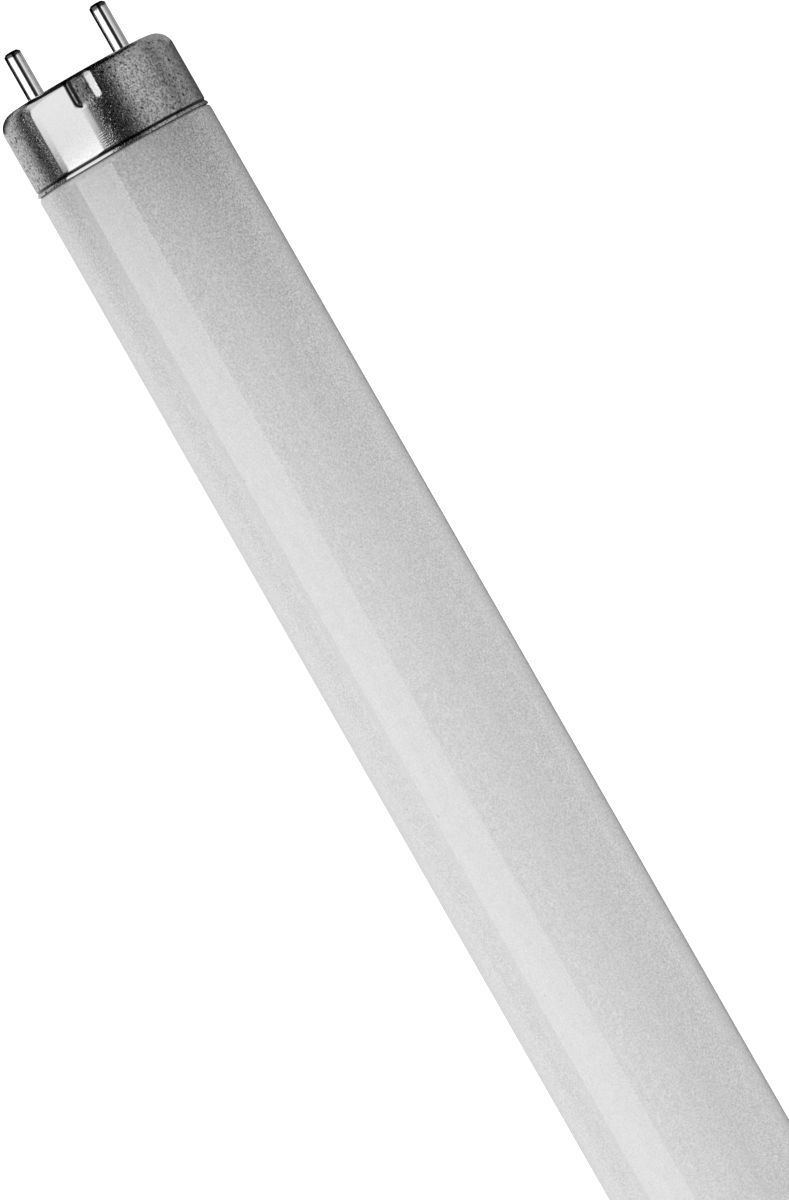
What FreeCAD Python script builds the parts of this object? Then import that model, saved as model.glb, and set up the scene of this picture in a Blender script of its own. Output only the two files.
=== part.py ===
import FreeCAD, Part
import Sketcher
import os

# A two-foot fluorescent lamp of one-inch glass with a two-pin cap at each end.
# The lamp lies on its side along X, with Z up. The origin is on the surface that
# it lies on, halfway along it. The pins of both caps lie in one level plane, and
# one of each cap's two index notches is on top.
#
# Each end is drawn about its own frame: X runs along the lamp and out of the cap,
# and x = 0 is the plane of the cap's face. What lies under the cap has x below 0.

SIZES = [
    ("tube_diameter", 25.4, "outer diameter of the glass"),
    ("face_to_face", 589.8, "distance between the faces of the two caps"),
    ("end_gap", 3.1, "from the back of the insulator to the end of the glass"),
    ("mouth_rim", 2.25, "glass end round the mouth of the stem funnel"),
    ("throat_diameter", 9.0, "straight part of the stem funnel"),
    ("funnel_flare", 6.4, "length over which the funnel narrows"),
    ("funnel_depth", 12.4, "from the glass end to the floor of the funnel"),
    ("exhaust_diameter", 3.2, "sealed exhaust tube in the funnel"),
    ("exhaust_length", 9.5, "exhaust tube from the funnel's floor to its tip"),
    ("exhaust_point", 1.6, "length of its melted and pointed tip"),
    ("cap_inset", 0.17, "how far the cap's skirt lies within the glass's surface"),
    ("cap_length", 11.4, "cap from its face to its rim"),
    ("cap_wall", 0.3, "sheet of the cap"),
    ("cap_shoulder", 2.4, "outer radius between the cap's face and its skirt"),
    ("shoulder_steps", 2, "flat steps that stand for that rounding"),
    ("rim_gap", 0.05, "between the cap's rim and the glass"),
    ("seat_width", 0.3, "how far the cap's face reaches over the insulator"),
    ("notch_length", 4.1, "index notch along the skirt from the face"),
    ("notch_floor", 2.2, "width of the notch's floor"),
    ("notch_steep_side", 0.75, "width of the notch's steeper wall"),
    ("notch_gentle_side", 1.0, "width of the notch's gentler wall"),
    ("notch_skirt_depth", 0.5, "depth of the notch at its end on the skirt"),
    ("notch_face_depth", 0.9, "depth of the notch at the face"),
    ("plate_thickness", 1.2, "insulator plate"),
    ("flange_thickness", 0.6, "flange round the back of that plate"),
    ("flange_clearance", 0.83, "between the flange and the cap's skirt"),
    ("boss_clearance", 0.08, "between the plate's front and the cap's shoulder"),
    ("key_clearance", 0.2, "between the notches and the insulator's keyways"),
    ("pin_pitch", 12.7, "between the centres of the two pins"),
    ("pin_diameter", 2.35, "contact pin"),
    ("pin_length", 7.0, "contact pin beyond the cap's face"),
    ("pin_bore", 1.5, "bore of the hollow pin"),
    ("pin_chamfer", 0.35, "bevel round the pin's tip"),
    ("shank_diameter", 1.9, "thinner part of the pin in the insulator"),
    ("shank_clearance", 0.03, "between that part and its hole"),
    ("rivet_diameter", 3.3, "turned-over end of the pin behind the insulator"),
    ("rivet_length", 0.5, "length of that turned-over end"),
    ("solder_depth", 1.5, "solder inside the pin's tip"),
    ("wire_diameter", 0.5, "lead wire"),
    ("wire_pitch", 4.6, "between the two lead wires where they leave the glass"),
    ("wire_straight", 5.5, "first straight run of a lead wire"),
    ("wire_lead_in", 2.2, "straight run of a lead wire behind the pin"),
    ("cement_thickness", 0.48, "between the cap's skirt and the neck of the glass"),
    ("cement_margin", 1.2, "cement kept back from the ends of the neck"),
]

# Lengths that follow from the sizes, as text for the expressions below
TUBE = "Sizes.tube_diameter / 2"
CAP = f"({TUBE} - Sizes.cap_inset)"
CAP_INSIDE = f"({CAP} - Sizes.cap_wall)"
NECK = f"({CAP_INSIDE} - Sizes.cement_thickness)"
BOSS = f"({CAP} - Sizes.cap_shoulder - Sizes.boss_clearance)"
FLANGE = f"({CAP_INSIDE} - Sizes.flange_clearance)"
FACE_INSIDE = "(-Sizes.cap_wall)"
PLATE_BACK = "(-Sizes.cap_wall - Sizes.plate_thickness)"
GLASS_END = f"({PLATE_BACK} - Sizes.end_gap)"
FUNNEL_FLOOR = f"({GLASS_END} - Sizes.funnel_depth)"
SHOULDER = f"(-Sizes.cap_length - {TUBE} + {CAP_INSIDE} - Sizes.rim_gap)"
NECK_END = f"({SHOULDER} + {TUBE} - {NECK})"

document = FreeCAD.newDocument("fluorescent_tube")
sizes = document.addObject("Spreadsheet::Sheet", "Sizes")
for row, (alias, number, meaning) in enumerate(SIZES, start=1):
    sizes.set(f"A{row}", meaning)
    sizes.set(f"B{row}", str(number))
    sizes.setAlias(f"B{row}", alias)
document.recompute()

pieces = []


def worth(expression):
    """The value of an expression, as a plain number."""
    found = sizes.evalExpression(expression)
    return float(getattr(found, "Value", found))


def origin_feature(body, role):
    """One of the planes or axes of a body's own origin."""
    for feature in body.Origin.OriginFeatures:
        if feature.Role == role:
            return feature


def new_body(label):
    body = document.addObject("PartDesign::Body", label)
    body.Label = label
    return body


def new_sketch(body, name, role):
    """An empty sketch on one of the body's origin planes."""
    sketch = body.newObject("Sketcher::SketchObject", name)
    sketch.AttachmentSupport = [(origin_feature(body, role), "")]
    sketch.MapMode = "FlatFace"
    document.recompute()
    return sketch


def hold(sketch, direction, line, end, expression):
    """Holds one end of a line at a distance from the sketch's origin."""
    rule = Sketcher.Constraint(direction, -1, 1, line, end, worth(expression))
    number = sketch.addConstraint(rule)
    name = f"{direction}_{line}_{end}"
    sketch.renameConstraint(number, name)
    sketch.setExpression(f"Constraints.{name}", expression)


def draw_outline(sketch, corners, closed=True):
    """Draws straight lines from corner to corner, each corner given by two expressions."""
    points = [FreeCAD.Vector(worth(x), worth(y), 0) for x, y in corners]
    ends = points[1:] + points[:1] if closed else points[1:]
    for start, end in zip(points, ends):
        sketch.addGeometry(Part.LineSegment(start, end), False)
    lines = len(ends)
    for line in range(lines if closed else lines - 1):
        sketch.addConstraint(Sketcher.Constraint("Coincident", line, 2, (line + 1) % lines, 1))
    for line in range(lines):
        hold(sketch, "DistanceX", line, 1, corners[line][0])
        hold(sketch, "DistanceY", line, 1, corners[line][1])
    if not closed:
        hold(sketch, "DistanceX", lines - 1, 2, corners[-1][0])
        hold(sketch, "DistanceY", lines - 1, 2, corners[-1][1])


def revolve(body, name, corners):
    """Turns a closed outline of (place along X, radius) corners once round the X axis."""
    sketch = new_sketch(body, f"{name}_outline", "XY_Plane")
    draw_outline(sketch, corners)
    turned = body.newObject("PartDesign::Revolution", name)
    turned.Profile = sketch
    turned.ReferenceAxis = (sketch, ["H_Axis"])
    turned.Angle = 360
    document.recompute()


def place(piece, end, row=None):
    """Puts a piece drawn in the end's frame at its end of the lamp, and in its row where it has one."""
    side = {"right": "", "left": "-"}[end]
    axis = {
        ("right", None): None,
        ("left", None): FreeCAD.Vector(0, 0, 1),
        ("right", "back"): None,
        ("right", "front"): FreeCAD.Vector(1, 0, 0),
        ("left", "front"): FreeCAD.Vector(0, 0, 1),
        ("left", "back"): FreeCAD.Vector(0, 1, 0),
    }[end, row]
    if axis is not None:
        piece.Placement = FreeCAD.Placement(FreeCAD.Vector(), FreeCAD.Rotation(axis, 180))
    piece.setExpression("Placement.Base.x", f"{side}Sizes.face_to_face / 2")
    piece.setExpression("Placement.Base.z", TUBE)
    document.recompute()


# The sealed glass: one blown tube, necked under each cap, with the stem melted into
# each end. The stem leaves a funnel, and its exhaust tube is sealed off inside it.

def glass_end(side):
    """Outline corners of one end, from the axis outwards. side is -1 for the left end."""
    middle = "Sizes.face_to_face / 2"
    exhaust_tip = f"({FUNNEL_FLOOR} + Sizes.exhaust_length)"
    corners = [
        (exhaust_tip, "0"),
        (f"({exhaust_tip} - Sizes.exhaust_point)", "Sizes.exhaust_diameter / 2"),
        (FUNNEL_FLOOR, "Sizes.exhaust_diameter / 2"),
        (FUNNEL_FLOOR, "Sizes.throat_diameter / 2"),
        (f"({GLASS_END} - Sizes.funnel_flare)", "Sizes.throat_diameter / 2"),
        (GLASS_END, f"({NECK} - Sizes.mouth_rim)"),
        (GLASS_END, NECK),
        (NECK_END, NECK),
        (SHOULDER, TUBE),
    ]
    return [(f"{side} * ({middle} + {x})", radius) for x, radius in corners]


def make_glass_tube():
    body = new_body("glass_tube")
    revolve(body, "tube", glass_end(1) + glass_end(-1)[::-1])
    body.setExpression("Placement.Base.z", TUBE)
    pieces.append(body)


# The cap: a cup drawn from thin aluminium sheet, with a window in its face and two
# index notches pressed into its shoulder. It is the outer form less the hollow
# inside it, and both have the notches.

def notch_section(body, name, place_along, depth, spread):
    """The notch's outline across the lamp: a floor with a steeper wall and a gentler one."""
    sketch = new_sketch(body, name, "YZ_Plane")
    sketch.setExpression("AttachmentOffset.Base.z", place_along)
    half_floor = f"(Sizes.notch_floor / 2 + {spread})"
    floor_height = f"({CAP} - {depth} - {spread})"
    top = f"({CAP} - {spread})"
    draw_outline(sketch, [
        (f"-{half_floor}", floor_height),
        (half_floor, floor_height),
        (f"({half_floor} + Sizes.notch_steep_side)", top),
        (f"(-{half_floor} - Sizes.notch_gentle_side)", top),
    ])
    document.recompute()
    return sketch


def press_notches(body, spread):
    """Cuts the two notches, widened and deepened by spread, out of a body's last feature."""
    before = body.Shape.Volume
    back = notch_section(body, "notch_back", "(-Sizes.notch_length)", "Sizes.notch_skirt_depth", spread)
    front = notch_section(body, "notch_front", "0", "Sizes.notch_face_depth", spread)
    notch = body.newObject("PartDesign::SubtractiveLoft", "notch")
    notch.Profile = back
    notch.Sections = [front]
    document.recompute()
    pair = body.newObject("PartDesign::PolarPattern", "notches")
    pair.Originals = [notch]
    pair.Axis = (origin_feature(body, "X_Axis"), [""])
    pair.Angle = 360
    pair.Occurrences = 2
    body.Tip = pair
    document.recompute()
    if not body.Shape.Volume < before:
        raise RuntimeError("the notches cut nothing")


def quarter_round(face, skirt, radius):
    """Corners on a quarter circle from a face to a skirt, in equal steps of its angle."""
    steps = round(worth("Sizes.shoulder_steps"))
    corners = []
    for step in range(steps + 1):
        angle = 90 * step / steps
        along = f"({face} - {radius} * (1 - cos({angle} deg)))"
        out = f"({skirt} - {radius} * (1 - sin({angle} deg)))"
        corners.append((along, out))
    return corners


def make_cap_shell(end):
    rim = "(-Sizes.cap_length)"

    form = new_body(f"cap_form_{end}")
    shoulder = quarter_round("0", CAP, "Sizes.cap_shoulder")
    revolve(form, "cup", [("0", "0")] + shoulder + [(rim, CAP), (rim, "0")])
    press_notches(form, "0")

    hollow = new_body(f"cap_hollow_{end}")
    shoulder = quarter_round(FACE_INSIDE, CAP_INSIDE, "(Sizes.cap_shoulder - Sizes.cap_wall)")
    revolve(hollow, "core", [(FACE_INSIDE, "0")] + shoulder + [(rim, CAP_INSIDE), (rim, "0")])
    press_notches(hollow, "Sizes.cap_wall")

    window = document.addObject("Part::Cylinder", f"cap_window_{end}")
    window.Placement = FreeCAD.Placement(FreeCAD.Vector(), FreeCAD.Rotation(FreeCAD.Vector(0, 1, 0), -90))
    window.setExpression("Radius", f"{BOSS} - Sizes.seat_width")
    window.setExpression("Height", "2 * Sizes.cap_wall")

    cup_wall = document.addObject("Part::Cut", f"cap_wall_{end}")
    cup_wall.Base = form
    cup_wall.Tool = hollow
    shell = document.addObject("Part::Cut", f"cap_shell_{end}")
    shell.Base = cup_wall
    shell.Tool = window
    shell.Label = f"cap_shell_{end}"
    place(shell, end)
    pieces.append(shell)


# The insulator: a moulded plate behind the cap's face, which carries the two pins.
# Its front is smaller, to clear the shoulder, and its flange has keyways for the notches.

def make_insulator(end):
    body = new_body(f"insulator_{end}")
    flange_front = f"({PLATE_BACK} + Sizes.flange_thickness)"
    revolve(body, "plate", [
        (FACE_INSIDE, "0"),
        (FACE_INSIDE, BOSS),
        (flange_front, BOSS),
        (flange_front, FLANGE),
        (PLATE_BACK, FLANGE),
        (PLATE_BACK, "0"),
    ])

    holes = new_sketch(body, "pin_holes", "YZ_Plane")
    for number, side in enumerate(("-", "")):
        centre = FreeCAD.Vector(worth(f"{side}Sizes.pin_pitch / 2"), 0, 0)
        radius = "Sizes.shank_diameter / 2 + Sizes.shank_clearance"
        holes.addGeometry(Part.Circle(centre, FreeCAD.Vector(0, 0, 1), worth(radius)), False)
        holes.addConstraint(Sketcher.Constraint("PointOnObject", number, 3, -1))
        hold(holes, "DistanceX", number, 3, f"{side}Sizes.pin_pitch / 2")
        rule = holes.addConstraint(Sketcher.Constraint("Radius", number, worth(radius)))
        holes.renameConstraint(rule, f"radius_{number}")
        holes.setExpression(f"Constraints.radius_{number}", radius)
    cut_through(body, "pin_hole_cut", holes)

    keyways = new_sketch(body, "keyways", "YZ_Plane")
    half_width = (
        "(Sizes.notch_floor / 2 + Sizes.notch_gentle_side + Sizes.cap_wall + Sizes.key_clearance)"
    )
    floor_height = f"({CAP} - Sizes.notch_face_depth - Sizes.cap_wall - Sizes.key_clearance)"
    draw_outline(keyways, [
        (f"-{half_width}", floor_height),
        (half_width, floor_height),
        (half_width, CAP),
        (f"-{half_width}", CAP),
    ])
    keyway = cut_through(body, "keyway", keyways)
    pair = body.newObject("PartDesign::PolarPattern", "keyway_pair")
    pair.Originals = [keyway]
    pair.Axis = (origin_feature(body, "X_Axis"), [""])
    pair.Angle = 360
    pair.Occurrences = 2
    body.Tip = pair
    place(body, end)
    pieces.append(body)


def cut_through(body, name, sketch):
    """Cuts a sketch's outline through the whole body, and makes sure that it took something away."""
    before = body.Shape.Volume
    pocket = body.newObject("PartDesign::Pocket", name)
    pocket.Profile = sketch
    pocket.Type = "ThroughAll"
    pocket.Midplane = True
    document.recompute()
    if not body.Shape.Volume < before:
        raise RuntimeError(f"{name} cut nothing")
    return pocket


# The contact pins: brass tubes with a bevelled tip. The pin's thinner shank goes
# through the insulator and is turned over behind it, so the plate is held between
# the turned-over end and the pin's own shoulder.

def make_pin(end, row):
    outside = "Sizes.pin_diameter / 2"
    bore = "Sizes.pin_bore / 2"
    shank = "Sizes.shank_diameter / 2"
    tip = "Sizes.pin_length"
    inner_end = f"({PLATE_BACK} - Sizes.rivet_length)"
    body = new_body(f"pin_{end}_{row}")
    revolve(body, "pin", [
        (tip, bore),
        ("(Sizes.pin_length - Sizes.pin_chamfer)", outside),
        (FACE_INSIDE, outside),
        (FACE_INSIDE, shank),
        (PLATE_BACK, shank),
        (PLATE_BACK, "Sizes.rivet_diameter / 2"),
        (inner_end, "Sizes.rivet_diameter / 2"),
        (inner_end, bore),
    ])
    place_in_row(body, end, row)


def place_in_row(piece, end, row):
    """Puts a piece that is drawn about a pin's axis on that pin."""
    place(piece, end, row)
    side = {"back": "", "front": "-"}[row]
    piece.setExpression("Placement.Base.y", f"{side}Sizes.pin_pitch / 2")
    document.recompute()
    pieces.append(piece)


# The solder: it fills the tip of each pin's bore, over the end of the lead wire.

def make_solder(end, row):
    foot = "(Sizes.pin_length - Sizes.solder_depth)"
    body = new_body(f"solder_{end}_{row}")
    revolve(body, "plug", [
        ("Sizes.pin_length", "0"),
        ("Sizes.pin_length", "Sizes.pin_bore / 2"),
        (foot, "Sizes.pin_bore / 2"),
        (foot, "0"),
    ])
    place_in_row(body, end, row)


# The cement: at each end a ring that holds the cap's skirt on the neck of the glass.

def make_cement():
    front = f"({GLASS_END} - Sizes.cement_margin)"
    back = f"({NECK_END} + Sizes.cement_margin)"
    rings = []
    for end in ("right", "left"):
        ring = new_body(f"cement_ring_{end}")
        revolve(ring, "ring", [
            (front, NECK),
            (front, CAP_INSIDE),
            (back, CAP_INSIDE),
            (back, NECK),
        ])
        place(ring, end)
        rings.append(ring)
    cement = document.addObject("Part::Compound", "cement")
    cement.Links = rings
    document.recompute()
    pieces.append(cement)


# The lead wires: each leaves the floor of the stem funnel beside the exhaust tube,
# is bent out to its pin and runs through the pin to the solder in its tip.

def make_lead_wire(end, row):
    start = (FUNNEL_FLOOR, "Sizes.wire_pitch / 2")
    bend_out = (f"({FUNNEL_FLOOR} + Sizes.wire_straight)", "Sizes.wire_pitch / 2")
    bend_back = (f"({PLATE_BACK} - Sizes.rivet_length - Sizes.wire_lead_in)", "Sizes.pin_pitch / 2")
    finish = ("(Sizes.pin_length - Sizes.solder_depth)", "Sizes.pin_pitch / 2")
    body = new_body(f"lead_wire_{end}_{row}")

    route = new_sketch(body, "route", "XY_Plane")
    draw_outline(route, [start, bend_out, bend_back, finish], closed=False)
    document.recompute()

    section = new_sketch(body, "section", "YZ_Plane")
    section.setExpression("AttachmentOffset.Base.z", FUNNEL_FLOOR)
    centre = FreeCAD.Vector(worth("Sizes.wire_pitch / 2"), 0, 0)
    section.addGeometry(Part.Circle(centre, FreeCAD.Vector(0, 0, 1), worth("Sizes.wire_diameter / 2")), False)
    section.addConstraint(Sketcher.Constraint("PointOnObject", 0, 3, -1))
    hold(section, "DistanceX", 0, 3, "Sizes.wire_pitch / 2")
    rule = section.addConstraint(Sketcher.Constraint("Radius", 0, worth("Sizes.wire_diameter / 2")))
    section.renameConstraint(rule, "radius")
    section.setExpression("Constraints.radius", "Sizes.wire_diameter / 2")

    wire = body.newObject("PartDesign::AdditivePipe", "wire")
    wire.Profile = section
    wire.Spine = (route, [])
    wire.Transition = "Right corner"
    place(body, end, row)
    pieces.append(body)


def report_failures():
    """Stops if any object of the document failed, or a piece hasn't the solids it should have."""
    faults = [item.Name for item in document.Objects if {"Invalid", "Error"} & set(item.State)]
    for piece in pieces:
        wanted = 2 if piece.Label == "cement" else 1
        if piece.Shape.isNull() or not piece.Shape.isValid() or len(piece.Shape.Solids) != wanted:
            faults.append(piece.Label)
    if faults:
        raise RuntimeError("failed: " + ", ".join(faults))


make_glass_tube()
make_cement()
for lamp_end in ("right", "left"):
    make_cap_shell(lamp_end)
    make_insulator(lamp_end)
    for pin_row in ("front", "back"):
        make_pin(lamp_end, pin_row)
        make_solder(lamp_end, pin_row)
        make_lead_wire(lamp_end, pin_row)

document.recompute()
report_failures()

os.makedirs("parts", exist_ok=True)
for piece in pieces:
    piece.Shape.exportStep(f"parts/{piece.Label}.step")
    print(piece.Label, round(piece.Shape.Volume, 3))
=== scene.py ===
import math

import bpy
import numpy as np
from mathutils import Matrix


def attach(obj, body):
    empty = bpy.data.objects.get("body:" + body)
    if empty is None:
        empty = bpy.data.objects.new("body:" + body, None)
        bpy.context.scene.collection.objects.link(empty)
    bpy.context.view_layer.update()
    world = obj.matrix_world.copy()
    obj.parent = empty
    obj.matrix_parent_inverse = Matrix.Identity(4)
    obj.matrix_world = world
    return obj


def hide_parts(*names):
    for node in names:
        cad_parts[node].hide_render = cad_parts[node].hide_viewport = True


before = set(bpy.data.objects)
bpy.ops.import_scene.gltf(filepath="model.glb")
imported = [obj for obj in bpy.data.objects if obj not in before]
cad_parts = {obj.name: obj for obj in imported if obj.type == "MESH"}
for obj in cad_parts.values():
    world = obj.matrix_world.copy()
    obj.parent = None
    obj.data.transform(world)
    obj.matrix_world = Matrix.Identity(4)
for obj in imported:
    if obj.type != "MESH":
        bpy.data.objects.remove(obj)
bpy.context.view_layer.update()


# The glass bulb: one tube of clear glass, blown and necked at both ends, with a white
# powder baked on its inside that makes it look solid. The stem is melted into each
# end as a funnel with the sealed tip of the exhaust tube in it.

MM = 0.001
SIDES = {"right": 1, "left": -1}
AXIS_HEIGHT = 12.7 * MM
FACE_X = 294.9 * MM
GLASS_RADIUS = 12.7 * MM
NECK_RADIUS = 11.75 * MM
GLASS_END = -4.6 * MM
FUNNEL_FLOOR = -17.0 * MM
EXHAUST_TIP = -7.5 * MM
EXHAUST_TAPER = 1.2 * MM
EXHAUST_POINT = 0.25 * MM
EXHAUST_RADIUS = 1.6 * MM
THROAT_RADIUS = 4.5 * MM
THROAT_END = -11.0 * MM
MOUTH_RADIUS = 9.5 * MM
NECK_START = -11.10 * MM
SHOULDER_END = -11.78 * MM
FIRST_RING = 0.25 * MM
TUBE_ROWS = 40
TUBE_COLUMNS = 192


def softened_path(corners, bends, steps=7):
    """Straight runs between corners, each corner rounded by an arc of its own radius.

    On a corner with half opening angle h and radius b, the arc starts b / tan(h) before
    the corner, and its points are the two end directions blended by sines.
    """
    corners = [np.array(corner, float) for corner in corners]
    path = [corners[0]]
    for before, corner, after, bend in zip(corners, corners[1:], corners[2:], bends):
        back = (before - corner) / np.linalg.norm(before - corner)
        ahead = (after - corner) / np.linalg.norm(after - corner)
        half = 0.5 * math.acos(float(np.clip(back @ ahead, -1, 1)))
        inward = (back + ahead) / np.linalg.norm(back + ahead)
        centre = corner + inward * bend / math.sin(half)
        first = corner + back * bend / math.tan(half) - centre
        last = corner + ahead * bend / math.tan(half) - centre
        sweep = math.pi - 2 * half
        share = np.linspace(0, 1, steps)[:, None]
        blend = np.sin((1 - share) * sweep) * first + np.sin(share * sweep) * last
        path.extend(centre + blend / math.sin(sweep))
    path.append(corners[-1])
    return np.array(path)


def turned_rows(path, columns):
    """Turns a path of (along, radius) about the X axis: y = radius cos(a), z = radius sin(a)."""
    angle = np.arange(columns) * 2 * math.pi / columns
    along = np.repeat(path[:, 0][:, None], columns, axis=1)
    across = path[:, 1][:, None] * np.cos(angle)
    up = path[:, 1][:, None] * np.sin(angle)
    return np.stack([along, across, up], axis=2)


def new_piece(name, points, faces):
    """A mesh object made of points and faces, in the scene."""
    mesh = bpy.data.meshes.new(name)
    mesh.from_pydata(points, [], faces)
    piece = bpy.data.objects.new(name, mesh)
    bpy.context.scene.collection.objects.link(piece)
    return piece


def skin(name, rows, closed=False):
    """A smooth mesh over a grid of points, joined round each row.

    Row i, column j is joined to row i + 1 and column j + 1, wrapped at the last column.
    A closed skin also joins its last row to its first. An open one shuts its two ends
    with a fan from a point at the middle of the end row.
    """
    count, columns = rows.shape[:2]
    points = rows.reshape(-1, 3)
    bands = count if closed else count - 1
    row = np.arange(bands)[:, None]
    column = np.arange(columns)[None, :]
    near = row * columns
    far = (row + 1) % count * columns
    beside = (column + 1) % columns
    quads = np.stack([near + column, far + column, far + beside, near + beside], axis=2).reshape(-1, 4)
    faces = quads.tolist()
    if not closed:
        first_middle, last_middle = len(points), len(points) + 1
        points = np.vstack([points, rows[0].mean(axis=0), rows[-1].mean(axis=0)])
        ring = np.arange(columns)
        onward = (ring + 1) % columns
        last = (count - 1) * columns
        first_fan = np.stack([ring, onward, np.full(columns, first_middle)], axis=1)
        last_fan = np.stack([last + onward, last + ring, np.full(columns, last_middle)], axis=1)
        faces += first_fan.tolist() + last_fan.tolist()
    piece = new_piece(name, points.tolist(), faces)
    piece.data.shade_smooth()
    return piece


def at_end(points, end):
    """Puts points drawn about the right cap's face on either end, turned round for the left."""
    side = SIDES[end]
    return points * [side, side, 1] + [side * FACE_X, 0, AXIS_HEIGHT]


half_glass = softened_path(
    [
        (EXHAUST_TIP, EXHAUST_POINT),
        (EXHAUST_TIP - EXHAUST_TAPER, EXHAUST_RADIUS),
        (FUNNEL_FLOOR, EXHAUST_RADIUS),
        (FUNNEL_FLOOR, THROAT_RADIUS),
        (THROAT_END, THROAT_RADIUS),
        (GLASS_END, MOUTH_RADIUS),
        (GLASS_END, NECK_RADIUS),
        (NECK_START, NECK_RADIUS),
        (SHOULDER_END, GLASS_RADIUS),
        (-FACE_X, GLASS_RADIUS),
    ],
    bends=[0.9 * MM, 0.3 * MM, 0.3 * MM, 2.0 * MM, 0.6 * MM, 0.6 * MM, 0.5 * MM, 0.5 * MM],
)
tube_places = np.linspace(half_glass[-2, 0] - FIRST_RING, -FACE_X, TUBE_ROWS)
middle_run = np.stack([tube_places, np.full(TUBE_ROWS, GLASS_RADIUS)], axis=1)
half_glass = np.vstack([half_glass[:-1], middle_run])
half_glass[:, 0] += FACE_X
whole_glass = np.vstack([half_glass, half_glass[-2::-1] * [-1, 1]])
glass_rows = turned_rows(whole_glass[::-1], TUBE_COLUMNS) + [0, 0, AXIS_HEIGHT]
glass_tube = skin("glass_bulb", glass_rows)


def new_group(name, inputs, outputs):
    """An empty shader node group. Inputs are (name, kind, default), outputs (name, kind)."""
    group = bpy.data.node_groups.new(name, "ShaderNodeTree")
    for label, kind, default in inputs:
        socket = group.interface.new_socket(name=label, in_out="INPUT", socket_type=kind)
        socket.default_value = default
    for label, kind in outputs:
        group.interface.new_socket(name=label, in_out="OUTPUT", socket_type=kind)
    return group, group.nodes.new("NodeGroupInput"), group.nodes.new("NodeGroupOutput")


def wire_up(tree, source, target):
    tree.links.new(source, target)


def math_node(tree, operation, first, second=None, third=None, clamp=False):
    """One Math node. Each of its values is a number or the socket that it comes from."""
    node = tree.nodes.new("ShaderNodeMath")
    node.operation = operation
    node.use_clamp = clamp
    for number, value in enumerate((first, second, third)):
        if value is None:
            continue
        if isinstance(value, (int, float)):
            node.inputs[number].default_value = value
        else:
            wire_up(tree, value, node.inputs[number])
    return node.outputs[0]


def mapped(tree, value, low, high, to_low=0.0, to_high=1.0, smooth=False):
    """A value between two limits stretched to two others, and kept between them."""
    node = tree.nodes.new("ShaderNodeMapRange")
    node.interpolation_type = "SMOOTHSTEP" if smooth else "LINEAR"
    wire_up(tree, value, node.inputs["Value"])
    node.inputs["From Min"].default_value = low
    node.inputs["From Max"].default_value = high
    node.inputs["To Min"].default_value = to_low
    node.inputs["To Max"].default_value = to_high
    return node.outputs["Result"]


def object_place(tree):
    """A point's place in metres. The origin of every piece is the frame's."""
    return tree.nodes.new("ShaderNodeTexCoord").outputs["Object"]


def lamp_place(tree, place):
    """A place as three values: along the lamp, across it, and up from its axis."""
    split = tree.nodes.new("ShaderNodeSeparateXYZ")
    wire_up(tree, place, split.inputs[0])
    up = math_node(tree, "SUBTRACT", split.outputs["Z"], AXIS_HEIGHT)
    return split.outputs["X"], split.outputs["Y"], up


def speck_group():
    """Small round specks scattered over a surface, with soft rims and uneven sizes.

    A speck's mask is one minus the distance to the nearest cell point over the speck's
    own radius. A cell keeps its speck only where its random value is under the share.
    """
    group, given, result = new_group(
        "scattered_specks",
        [("Vector", "NodeSocketVector", (0, 0, 0)), ("Per Metre", "NodeSocketFloat", 1000.0),
         ("Radius", "NodeSocketFloat", 0.3), ("Share", "NodeSocketFloat", 0.5)],
        [("Mask", "NodeSocketFloat")],
    )
    cells = group.nodes.new("ShaderNodeTexVoronoi")
    cells.feature = "F1"
    wire_up(group, given.outputs["Vector"], cells.inputs["Vector"])
    wire_up(group, given.outputs["Per Metre"], cells.inputs["Scale"])
    chance = group.nodes.new("ShaderNodeSeparateColor")
    wire_up(group, cells.outputs["Color"], chance.inputs[0])
    uneven = mapped(group, chance.outputs["Green"], 0, 1, 0.35, 1.0)
    size = math_node(group, "MULTIPLY", given.outputs["Radius"], uneven)
    away = math_node(group, "DIVIDE", cells.outputs["Distance"], size)
    cover = math_node(group, "SUBTRACT", 1.0, away, clamp=True)
    kept = math_node(group, "LESS_THAN", chance.outputs["Red"], given.outputs["Share"])
    mask = math_node(group, "MULTIPLY", mapped(group, cover, 0.0, 0.5), kept)
    wire_up(group, mask, result.inputs["Mask"])
    return group


def grain_group():
    """Fine grain: one noise, a value near a half, drawn out along the lamp by its stretch."""
    group, given, result = new_group(
        "fine_grain",
        [("Vector", "NodeSocketVector", (0, 0, 0)), ("Per Metre", "NodeSocketFloat", 1000.0),
         ("Stretch", "NodeSocketFloat", 1.0)],
        [("Value", "NodeSocketFloat")],
    )
    lengthen = group.nodes.new("ShaderNodeCombineXYZ")
    wire_up(group, math_node(group, "DIVIDE", 1.0, given.outputs["Stretch"]), lengthen.inputs["X"])
    lengthen.inputs["Y"].default_value = 1.0
    lengthen.inputs["Z"].default_value = 1.0
    scaled = group.nodes.new("ShaderNodeVectorMath")
    scaled.operation = "MULTIPLY"
    wire_up(group, given.outputs["Vector"], scaled.inputs[0])
    wire_up(group, lengthen.outputs[0], scaled.inputs[1])
    noise = group.nodes.new("ShaderNodeTexNoise")
    noise.inputs["Detail"].default_value = 3.0
    noise.inputs["Roughness"].default_value = 0.6
    wire_up(group, scaled.outputs[0], noise.inputs["Vector"])
    wire_up(group, given.outputs["Per Metre"], noise.inputs["Scale"])
    wire_up(group, noise.outputs["Fac"], result.inputs["Value"])
    return group


specks = speck_group()
grain = grain_group()


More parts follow.
